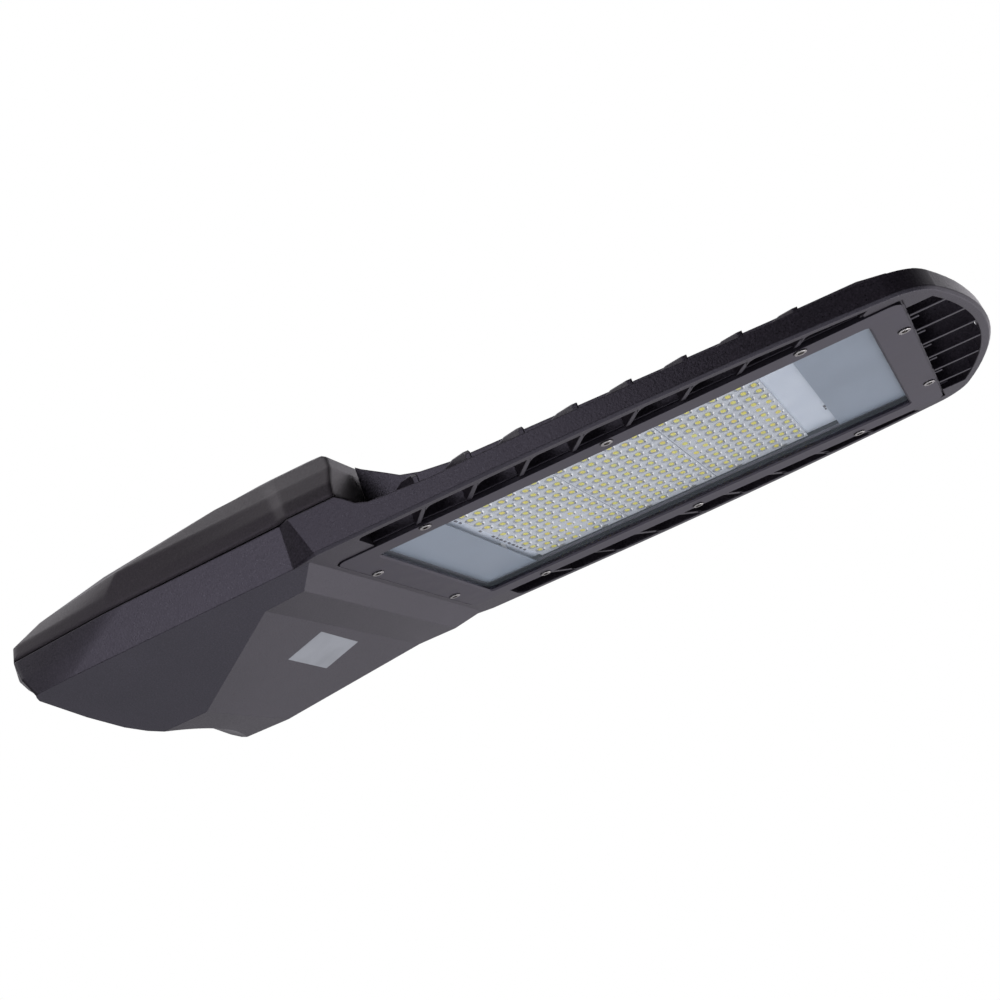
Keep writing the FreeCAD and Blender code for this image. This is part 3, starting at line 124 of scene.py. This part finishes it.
def powderCoatMaterial(name, p):
    material, tree = newMaterial(name)
    where = add(tree, "ShaderNodeTexCoord").outputs["Object"]
    speck = add(tree, "ShaderNodeTexNoise", Vector=where, Scale=1 / p["grain"], Detail=2.0, Roughness=0.6).outputs[0]
    cloud = add(tree, "ShaderNodeTexNoise", Vector=where, Scale=14.0, Detail=2.0).outputs[0]
    both = add(tree, "ShaderNodeMath", {"operation": "MULTIPLY_ADD"}, i0=cloud, i1=0.35, i2=speck).outputs[0]
    shade = ramp(tree, both, [(0.45, p["dark"]), (0.68, p["mid"]), (0.95, p["light"])])
    pimples = add(tree, "ShaderNodeTexNoise", Vector=where, Scale=0.8 / p["grain"], Detail=1.0).outputs[0]
    edge = add(tree, "ShaderNodeBevel", {"samples": 6}, Radius=p["edge"]).outputs[0]
    skin = add(tree, "ShaderNodeBump", Strength=0.55, Distance=p["pimple"], Height=pimples, Normal=edge).outputs[0]
    gloss = add(tree, "ShaderNodeMapRange", i0=speck, i1=0.3, i2=0.7, i3=p["rough"] - 0.07, i4=p["rough"] + 0.09).outputs[0]
    paint = add(tree, "ShaderNodeBsdfPrincipled", Base_Color=shade, Roughness=gloss, Specular_Tint=colour(p["sheen"]), Normal=skin)
    finishWith(tree, paint.outputs[0])
    return material


# smooth satin powder coat on the cast glass frame: finer skin than the housing, faint flow marks
def satinCoatMaterial():
    material, tree = newMaterial("satinCoatOnFrame")
    where = add(tree, "ShaderNodeTexCoord").outputs["Object"]
    flow = add(tree, "ShaderNodeTexNoise", Vector=where, Scale=60.0, Detail=3.0).outputs[0]
    shade = ramp(tree, flow, [(0.3, "#322e35"), (0.7, "#3b373f")])
    skin = add(tree, "ShaderNodeTexNoise", Vector=where, Scale=1400.0, Detail=1.0).outputs[0]
    edge = add(tree, "ShaderNodeBevel", {"samples": 4}, Radius=0.0005).outputs[0]
    bump = add(tree, "ShaderNodeBump", Strength=0.3, Distance=0.00004, Height=skin, Normal=edge).outputs[0]
    gloss = add(tree, "ShaderNodeMapRange", i0=flow, i1=0.3, i2=0.7, i3=0.38, i4=0.46).outputs[0]
    paint = add(tree, "ShaderNodeBsdfPrincipled", Base_Color=shade, Roughness=gloss, Specular_Tint=colour("#f6efff"), Normal=bump)
    finishWith(tree, paint.outputs[0])
    return material


# stainless A2 screws, cold headed and tumbled: soft grey mirror with a fine tumble grain
def stainlessMaterial():
    material, tree = newMaterial("tumbledStainless")
    where = add(tree, "ShaderNodeTexCoord").outputs["Object"]
    grain = add(tree, "ShaderNodeTexNoise", Vector=where, Scale=900.0, Detail=2.0).outputs[0]
    shade = ramp(tree, grain, [(0.35, "#a5a29f"), (0.65, "#c4c1bd")])
    gloss = add(tree, "ShaderNodeMapRange", i0=grain, i1=0.3, i2=0.7, i3=0.24, i4=0.38).outputs[0]
    metal = add(tree, "ShaderNodeBsdfPrincipled", Base_Color=shade, Roughness=gloss, Metallic=1.0)
    finishWith(tree, metal.outputs[0])
    return material


def simpleMaterial(name, low, high, rough, size, metallic=0.0, bump=0.0):
    # two close shades mottled at a real size, with the roughness following them
    material, tree = newMaterial(name)
    where = add(tree, "ShaderNodeTexCoord").outputs["Object"]
    mottle = add(tree, "ShaderNodeTexNoise", Vector=where, Scale=1 / size, Detail=3.0).outputs[0]
    shade = ramp(tree, mottle, [(0.32, low), (0.68, high)])
    gloss = add(tree, "ShaderNodeMapRange", i0=mottle, i1=0.3, i2=0.7, i3=rough - 0.05, i4=rough + 0.05).outputs[0]
    paint = add(tree, "ShaderNodeBsdfPrincipled", Base_Color=shade, Roughness=gloss, Metallic=metallic)
    if bump:
        skin = add(tree, "ShaderNodeBump", Strength=0.4, Distance=bump, Height=mottle).outputs[0]
        tree.links.new(skin, paint.inputs["Normal"])
    finishWith(tree, paint.outputs[0])
    return material


# clear soda-lime float glass, toughened: a pale veil and a sharp gloss
def paneMaterial():
    material, tree = newMaterial("toughenedFloatGlass")
    glass = add(tree, "ShaderNodeBsdfPrincipled", Base_Color=colour("#cfdbe2"), Roughness=0.04, IOR=1.52, Alpha=0.1)
    finishWith(tree, glass.outputs[0])
    return material


# injection moulded clear acrylic of the lens plates: a bluish clear skin over the white board
def lensPlateMaterial():
    material, tree = newMaterial("clearAcrylicPlate")
    clear = add(tree, "ShaderNodeBsdfPrincipled", Base_Color=colour("#f8fbff"), Roughness=0.12, IOR=1.49, Alpha=0.9)
    finishWith(tree, clear.outputs[0])
    return material


# the same acrylic where it is domed: clear over the emitter. Copies of it paint the steep rim: a dark copy is painted
# shade and a white copy is a painted highlight, standing in for the dark and bright surroundings the rim would bend in.
# The emission is a painted glow standing in for light the dome gathers.
def lensDomeMaterial(name, tint, veil, paintedGlow=0.0):
    material, tree = newMaterial(name)
    clear = add(tree, "ShaderNodeBsdfPrincipled", Base_Color=colour(tint), Roughness=0.06, IOR=1.49, Alpha=veil,
                Emission_Color=colour(tint), Emission_Strength=paintedGlow)
    finishWith(tree, clear.outputs[0])
    return material


# yellow phosphor under silicone, seen enlarged by its dome: deeper towards one side, and in daylight
# it glows yellow a little
def phosphorMaterial():
    material, tree = newMaterial("enlargedPhosphor")
    where = add(tree, "ShaderNodeTexCoord").outputs["Object"]
    patch = add(tree, "ShaderNodeTexNoise", Vector=where, Scale=260.0, Detail=1.0).outputs[0]
    shade = ramp(tree, patch, [(0.3, "#f0f070"), (0.5, "#f8ee28"), (0.7, "#fbdc48")])
    face = add(tree, "ShaderNodeBsdfPrincipled", Base_Color=shade, Roughness=0.35,
               Emission_Color=colour("#fff000"), Emission_Strength=0.1)
    finishWith(tree, face.outputs[0])
    return material


finishes = {
    "lower_housing": powderCoatMaterial("texturedPowderCoat", powderCoat["casting"]),
    "top_cover": powderCoatMaterial("texturedPowderCoatCover", powderCoat["cover"]),
    "glass_frame": satinCoatMaterial(),
    "glass_pane": paneMaterial(),
    "mask": simpleMaterial("greyScreenPrint", "#a1acb8", "#a7b2be", 0.35, 0.05),
    "board": simpleMaterial("whiteSolderResist", "#e8eff8", "#f0f6fd", 0.4, 0.02),
    "chip": phosphorMaterial(),
    "lens": lensPlateMaterial(),
    "seal": simpleMaterial("greySilicone", "#96929b", "#a19da6", 0.6, 0.004, bump=0.00005),
    "rubber": simpleMaterial("blackSilicone", "#1b1b1d", "#242427", 0.7, 0.004, bump=0.00005),
    "stainless": stainlessMaterial(),
    "pad": simpleMaterial("greyHeatPad", "#7b8087", "#878c93", 0.75, 0.003),
    "white": simpleMaterial("mouldedNylon", "#cfcec8", "#dad9d3", 0.45, 0.01),
    "leads": simpleMaterial("siliconeInsulation", "#6b1f1a", "#7c2a22", 0.5, 0.01),
    "zinc": simpleMaterial("zincSpangle", "#8e9193", "#b3b6b8", 0.35, 0.008, metallic=1.0),
    "anodised": simpleMaterial("anodisedCase", "#9a9c9e", "#aaacae", 0.38, 0.015, metallic=1.0),
    "brown": simpleMaterial("partsOnBoard", "#4c464b", "#6b6468", 0.5, 0.002),
    "black": simpleMaterial("mouldedBlackNylon", "#1d1d1f", "#29292b", 0.5, 0.003, bump=0.00004),
}

wearing = {
    "lower_housing": "lower_housing", "top_cover": "top_cover", "glass_frame": "glass_frame", "glass_pane": "glass_pane",
    "rear_mask_sheet": "mask", "front_mask_sheet": "mask", "led_board": "board", "led_chips": "chip",
    "lens_rear": "lens", "lens_middle": "lens", "lens_front": "lens", "thermal_pad": "pad",
    "cover_gasket": "rubber", "glass_gasket": "seal", "lead_grommet": "rubber",
    "cover_screws": "stainless", "frame_screws": "stainless", "lens_screws": "stainless", "tray_screws": "stainless",
    "driver_screws": "stainless", "terminal_screws": "stainless", "cord_clamp_screws": "stainless",
    "earth_screw": "stainless", "clamp_bolts": "stainless", "clamp_nuts": "stainless",
    "board_connector": "white", "terminal_block": "white", "led_leads": "leads", "supply_leads": "leads",
    "gear_tray": "zinc", "driver": "anodised", "surge_protector": "black", "cord_clamp": "black",
}
for nodeName, finish in wearing.items():
    if nodeName in nodes:
        mesh = nodes[nodeName].data
        mesh.materials.clear()
        mesh.materials.append(finishes[finish])
print("materials on", len(wearing), "nodes")


def newPiece(name, points, faces, finish, smooth=True):
    mesh = bpy.data.meshes.new(name)
    mesh.from_pydata([tuple(p) for p in np.asarray(points, float) / 1000], [], [tuple(int(i) for i in f) for f in faces])
    mesh.update()
    mesh.polygons.foreach_set("use_smooth", [smooth] * len(mesh.polygons))
    mesh.materials.append(finishes[finish] if isinstance(finish, str) else finish)
    piece = bpy.data.objects.new(name, mesh)
    bpy.context.scene.collection.objects.link(piece)
    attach(piece, "root")
    return piece


# lens plates: 12 rows of 8 emitters, every second column half a row further
field = {"column": 9.25, "row": 16.05, "halfX": 4.1, "halfY": 5.6, "high": 1.35, "faceX": 1.8, "faceY": 3.7, "shift": -0.9}


def emitterSpots(node):
    # the place of each emitter under one plate, in mm, and its column
    low, high = np.array(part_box(node)) * 1000
    columns, rows = np.meshgrid(np.arange(8), np.arange(12))
    columns, rows = columns.ravel(), rows.ravel()
    x = (low[0] + high[0]) / 2 + field["column"] * (columns - 3.5)
    y = field["row"] * (rows - 5.75 + 0.5 * (columns % 2))
    return np.column_stack([x, y, np.full(96, low[2])]), columns


def repeated(one, faces, spots):
    # the same small form at every spot: all points in one array, face numbers shifted by form
    points = (spots[:, None, :] + one[None, :, :]).reshape(-1, 3)
    shift = np.arange(len(spots)) * len(one)
    return points, [[f + k for f in face] for k in shift for face in faces]


def domeField(name, node, d):
    # each dome: point = (a cos t sin s, b sin t sin s, -h cos s), with s from pole to rim; a flat lid closes the back
    turns, rings = 18, 5
    t = np.linspace(0, 2 * np.pi, turns, endpoint=False)
    s = np.linspace(0, np.pi / 2, rings + 1)[1:]
    x = d["halfX"] * np.cos(t)[None, :] * np.sin(s)[:, None]
    y = d["halfY"] * np.sin(t)[None, :] * np.sin(s)[:, None]
    z = -d["high"] * np.cos(s)[:, None] * np.ones(turns)
    one = np.vstack([[0, 0, -d["high"]], np.column_stack([x.ravel(), y.ravel(), z.ravel()]), [0, 0, 0]])
    ringAt = 1 + np.arange(rings * turns).reshape(rings, turns)
    nextAt = np.roll(ringAt, -1, axis=1)
    cap = [[0, int(b), int(a)] for a, b in zip(ringAt[0], nextAt[0])]
    side = np.stack([ringAt[:-1], nextAt[:-1], nextAt[1:], ringAt[1:]], -1).reshape(-1, 4).tolist()
    lid = [[len(one) - 1, int(a), int(b)] for a, b in zip(ringAt[-1], nextAt[-1])]
    spots, columns = emitterSpots(node)
    points, faces = repeated(one, cap + side + lid, spots)
    piece = newPiece(name, points, faces, domeClear)
    piece.data.materials.append(domePaintedShade)
    piece.data.materials.append(domePaintedHighlight)
    # the front flank of each dome gets a band of painted shade and then a band of painted highlight
    angle = np.degrees(np.tile(t, rings - 1))
    ring = np.repeat(np.arange(1, rings), turns)
    tone = np.zeros(len(cap) + len(side) + len(lid), int)
    rim = np.zeros(len(side), int)
    ahead = (angle < 50) | (angle > 330)
    rim[(ring == 2) & ahead] = 1
    rim[(ring >= 3) & ahead] = 2
    tone[len(cap):len(cap) + len(side)] = rim
    piece.data.polygons.foreach_set("material_index", np.tile(tone, len(spots)))
    return piece


def emitterFaces(d):
    # the enlarged face of each emitter just inside its dome: |x/a|^3 + |y/b|^3 = 1
    t = np.linspace(0, 2 * np.pi, 16, endpoint=False)
    c, k = np.cos(t), np.sin(t)
    r = (np.abs(c) ** 3 + np.abs(k) ** 3) ** (-1 / 3)
    rim = np.column_stack([d["faceX"] * r * c, d["faceY"] * r * k + d["shift"], np.full(16, -0.03)])
    one = np.vstack([rim, [0, d["shift"], -0.18]])
    faces = [[16, (i + 1) % 16, i] for i in range(16)]
    spots = np.vstack([emitterSpots(node)[0] for node in ("lens_rear", "lens_middle", "lens_front")])
    points, faces = repeated(one, faces, spots)
    piece = newPiece("emitterFaces", points, faces, "chip")
    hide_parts("led_chips")


domeClear = lensDomeMaterial("acrylicDomeClear", "#e6e9f6", 0.05)
# the dark copy is painted shade on the dome rim; the white copy is a painted highlight with a painted glow of emission
# 0.4
domePaintedShade = lensDomeMaterial("acrylicDomePaintedShade", "#4a4c5c", 0.6)
domePaintedHighlight = lensDomeMaterial("acrylicDomePaintedHighlight", "#ffffff", 0.85, 0.4)
for name, node in (("lensDomesRear", "lens_rear"), ("lensDomesMiddle", "lens_middle"), ("lensDomesFront", "lens_front")):
    domeField(name, node, field)
emitterFaces(field)
print("lens domes done")


# small parts on the board: marks beside the connector and a sensor near the front mask
boardParts = [(248.8, y, 1.6, w) for y, w in ((-88, 3), (-80, 5), (-73, 3), (-66, 4), (-58, 3), (-20, 3), (6, 4), (14, 3),
                                              (22, 5), (30, 3), (39, 4), (48, 5), (56, 3), (64, 4), (73, 3))]
boardParts += [(499.6, 55, 1.8, 4.5), (499.3, 62, 1.4, 3)]


def boardPartsPiece(spots):
    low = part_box("led_board")[0][2] * 1000
    corners = np.array([(i, j, k) for k in (0, -1) for j in (-0.5, 0.5) for i in (-0.5, 0.5)])
    quads = [[0, 2, 3, 1], [4, 5, 7, 6], [0, 1, 5, 4], [2, 6, 7, 3], [0, 4, 6, 2], [1, 3, 7, 5]]
    points, faces = [], []
    for x, y, long, wide in spots:
        faces += [[f + len(points) for f in quad] for quad in quads]
        points += list(corners * (long, wide, 0.5) + (x, y, low - 0.01))
    newPiece("boardParts", points, faces, "brown", False)


boardPartsPiece(boardParts)


# frame screws: low hexagon socket heads with a rounded shoulder
headForm = {"r": 4.25, "shoulder": 0.55, "key": 2.0, "deep": 1.7, "turns": 30}


headRows = {"side": (-133, 0, 133), "end": (-70, 70)}


def frameScrewPiece(h):
    # a turned profile (radius, height) swept round; the socket's radius is key / cos of the angle within a sixth
    box = np.array(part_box("frame_screws")) * 1000
    low = box[0][2]
    x0, x1, y0, y1 = box[0][0] + h["r"], box[1][0] - h["r"], box[0][1] + h["r"], box[1][1] - h["r"]
    middle = (x0 + x1) / 2
    spots = [(x, y, low) for x in (x0, x1) for y in headRows["end"]]
    spots += [(middle + dx, y, low) for dx in headRows["side"] for y in (y0, y1)]
    t = np.linspace(0, 2 * np.pi, h["turns"], endpoint=False)
    hexagon = h["key"] / np.cos((t % (np.pi / 3)) - np.pi / 6)
    profile = [(h["r"], 2.79), (h["r"], h["shoulder"]), (h["r"] - 0.16, 0.16), (h["r"] - h["shoulder"], 0), (None, 0), (None, h["deep"])]
    rings = []
    for r, z in profile:
        radius = hexagon if r is None else np.full(len(t), r)
        rings.append(np.column_stack([radius * np.cos(t), radius * np.sin(t), np.full(len(t), z)]))
    one = np.vstack(rings + [[[0, 0, h["deep"]]]])
    at = np.arange(len(profile) * len(t)).reshape(len(profile), len(t))
    step = np.roll(at, -1, axis=1)
    faces = np.stack([at[:-1], at[1:], step[1:], step[:-1]], -1).reshape(-1, 4).tolist()
    faces += [[int(a), len(one) - 1, int(b)] for a, b in zip(at[-1], step[-1])]
    points, faces = repeated(one, faces, np.array(spots))
    piece = newPiece("frameScrewHeads", points, faces, "stainless", False)
    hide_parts("frame_screws")


frameScrewPiece(headForm)


# the bars of the nose grille keep their height up to the ring
barTips = {"spots": ((-3, -4), (-1, 0), (1, 0), (3, -4)), "pitch": 17.65, "half": 1.45,
           "side": ((590, 21.4), (609.6, 13.7), (615.2, 12.2), (615.2, 20), (606, 22.5), (596, 23))}


def barTipPiece(p):
    # one plate per bar: its side outline at y = pitch * number -+ half
    side = np.array(p["side"])
    n = len(side)
    one = np.vstack([np.column_stack([side[:, 0], np.full(n, y), side[:, 1]]) for y in (-p["half"], p["half"])])
    faces = [list(range(n)), list(range(2 * n - 1, n - 1, -1))]
    faces += [[(i + 1) % n, i, i + n, (i + 1) % n + n] for i in range(n)]
    spots = np.array([(shift, p["pitch"] * k, 0) for k, shift in p["spots"]])
    points, faces = repeated(one, faces, spots)
    newPiece("grilleBarTips", points, faces, "lower_housing", False)


barTipPiece(barTips)


# rounds where each side opening's rear end runs into the rim
rounds = {"first": 243.6, "pitch": 38.1, "slant": 0.627, "half": 1.888, "inner": 126.5, "wall": 153.75,
          "straightTo": 284, "bend": 2035, "rear": 209.6, "reach": (7, 6.5), "low": 3.9, "high": 13}


def openingRounds(p):
    # plan of one round: curve = (1-t)^2 a + 2 t (1-t) corner + t^2 b, closed by a point inside the metal
    def wall(x):
        return p["wall"] - max(0, x - p["straightTo"]) ** 2 / (2 * p["bend"])

    t = np.linspace(0, 1, 9)[:, None]
    points, faces = [], []
    for side in (-1, 1):
        for number in range(9):
            deep = wall(p["first"] + p["pitch"] * number) - p["inner"]
            x = p["first"] + p["pitch"] * (number - 1) + p["half"] + deep * p["slant"] if number else p["rear"]
            slope = -(x + 4 - p["straightTo"]) / p["bend"] if x > p["straightTo"] else 0.0
            inward = np.array([-p["slant"], -1.0]) if number else np.array([0.0, -1.0])
            corner = np.array([x, wall(x)])
            reach = p["reach"][0] if number == 0 else p["reach"][1]
            a = corner + inward / np.linalg.norm(inward) * reach
            b = corner + np.array([1.0, slope]) * reach
            plan = np.vstack([(1 - t) ** 2 * a + 2 * t * (1 - t) * corner + t ** 2 * b, corner + (-1.2, 0.9)])
            n = len(plan)
            base = len(points)
            plan = plan * (1, side)
            points += [(x, y, p["low"]) for x, y in plan] + [(x, y, p["high"]) for x, y in plan]
            turn = -1 if side > 0 else 1
            faces.append([base + i for i in range(n)][::-turn])
            faces.append([base + n + i for i in range(n)][::turn])
            faces += [[base + i, base + (i + 1) % n, base + n + (i + 1) % n, base + n + i][::turn] for i in range(n)]
    newPiece("openingRounds", points, faces, "lower_housing", False)


openingRounds(rounds)


# bare silver sticker on the slope of the belly
sticker = {"corners": [(114.5, -34.5), (111.9, 30.8), (80.8, 30.0), (83.4, -35.6)], "thick": 0.12}


def slopeZ(x):
    return -35.5 + (x - 22.4) * (35.5 - 6.4) / (122 - 22.4)


def stickerPiece(p):
    # a thin sheet laid on the slope: a grid between the corners, its height from the plane of the slope
    u, v = np.meshgrid(np.linspace(0, 1, 9), np.linspace(0, 1, 9))
    c = np.array(p["corners"])
    flat = ((1 - u) * (1 - v))[..., None] * c[0] + (u * (1 - v))[..., None] * c[1] + (u * v)[..., None] * c[2] + ((1 - u) * v)[..., None] * c[3]
    z = slopeZ(flat[..., 0]) - 0.02
    points = np.dstack([flat, z]).reshape(-1, 3)
    at = np.arange(81).reshape(9, 9)
    faces = np.stack([at[:-1, :-1], at[:-1, 1:], at[1:, 1:], at[1:, :-1]], -1).reshape(-1, 4)
    piece = newPiece("bareSticker", points, faces, simpleMaterial("silverPolyesterFilm", "#9fa2a6", "#adb0b4", 0.4, 0.02), False)
    wall = piece.modifiers.new("thickness", "SOLIDIFY")
    wall.thickness = p["thick"] / 1000
    wall.offset = 1
    return piece


stickerPiece(sticker)


# studio: soft boxes as round glows in the sky, white behind the head; azimuth, elevation, full and faded
# half-angle in degrees, strength, tint
studio = {
    "glows": [
        (170, 48, 10, 38, 1.25, "#fdfbff"),
        (241, 17, 8, 19, 0.6, "#f5f1ff"),
        (254, 30, 7, 14, 2.0, "#f6f4ff"),
        (245, 5, 5, 20, 2.8, "#f5f4ff"),
        (225, 20, 5, 20, 0.5, "#f4f1ff"),
        (110, 8, 10, 40, 0.5, "#fbf8ff"),
        (110, 25, 10, 30, 0.62, "#f8f6ff"),
        (75, 15, 5, 25, 1.1, "#fcf8ff"),
        (40, 30, 10, 40, 0.43, "#fdfbff"),
        (0, 88, 8, 30, 0.3, "#fbf8ff"),
        (60, -35, 5, 35, 1.4, "#f9f6ff"),
        (100, -42, 5, 20, 1.0, "#fbf8ff"),
        (180, -60, 10, 40, 0.45, "#fbf8ff"),
        (0, -90, 5, 30, 0.85, "#faf9fb"),
        (0, -90, 10, 60, 0.62, "#ecf2ff"),
        (75, -48, 1, 5, 9, "#ffffff"),
    ],
    "rest": 0.02,
}


def glow(tree, where, azimuth, elevation, full, faded, strength, tint):
    # brightness = strength * smoothstep(cos faded, cos full, direction . middle)
    a, e = np.radians(azimuth), np.radians(elevation)
    middle = (float(np.cos(e) * np.cos(a)), float(np.cos(e) * np.sin(a)), float(np.sin(e)))
    along = add(tree, "ShaderNodeVectorMath", {"operation": "DOT_PRODUCT"}, i0=where, i1=middle).outputs["Value"]
    level = add(tree, "ShaderNodeMapRange", {"interpolation_type": "SMOOTHSTEP"}, i0=along, i1=float(np.cos(np.radians(faded))),
                i2=float(np.cos(np.radians(full))), i3=0.0, i4=strength).outputs[0]
    return add(tree, "ShaderNodeBackground", Color=colour(tint), Strength=level).outputs[0]


def lightStudio(p):
    world = bpy.data.worlds.new("studio")
    bpy.context.scene.world = world
    world.use_nodes = True
    tree = world.node_tree
    tree.nodes.clear()
    where = add(tree, "ShaderNodeTexCoord").outputs["Generated"]
    total = add(tree, "ShaderNodeBackground", Color=colour("#ffffff"), Strength=p["rest"]).outputs[0]
    for g in p["glows"]:
        total = add(tree, "ShaderNodeAddShader", i0=total, i1=glow(tree, where, *g)).outputs[0]
    seen = add(tree, "ShaderNodeLightPath").outputs["Is Camera Ray"]
    white = add(tree, "ShaderNodeBackground", Color=(1, 1, 1, 1), Strength=1.0).outputs[0]
    both = add(tree, "ShaderNodeMixShader", i0=seen, i1=total, i2=white).outputs[0]
    add(tree, "ShaderNodeOutputWorld", Surface=both)
    bpy.context.scene.view_settings.view_transform = "Standard"


lightStudio(studio)
print("studio done")
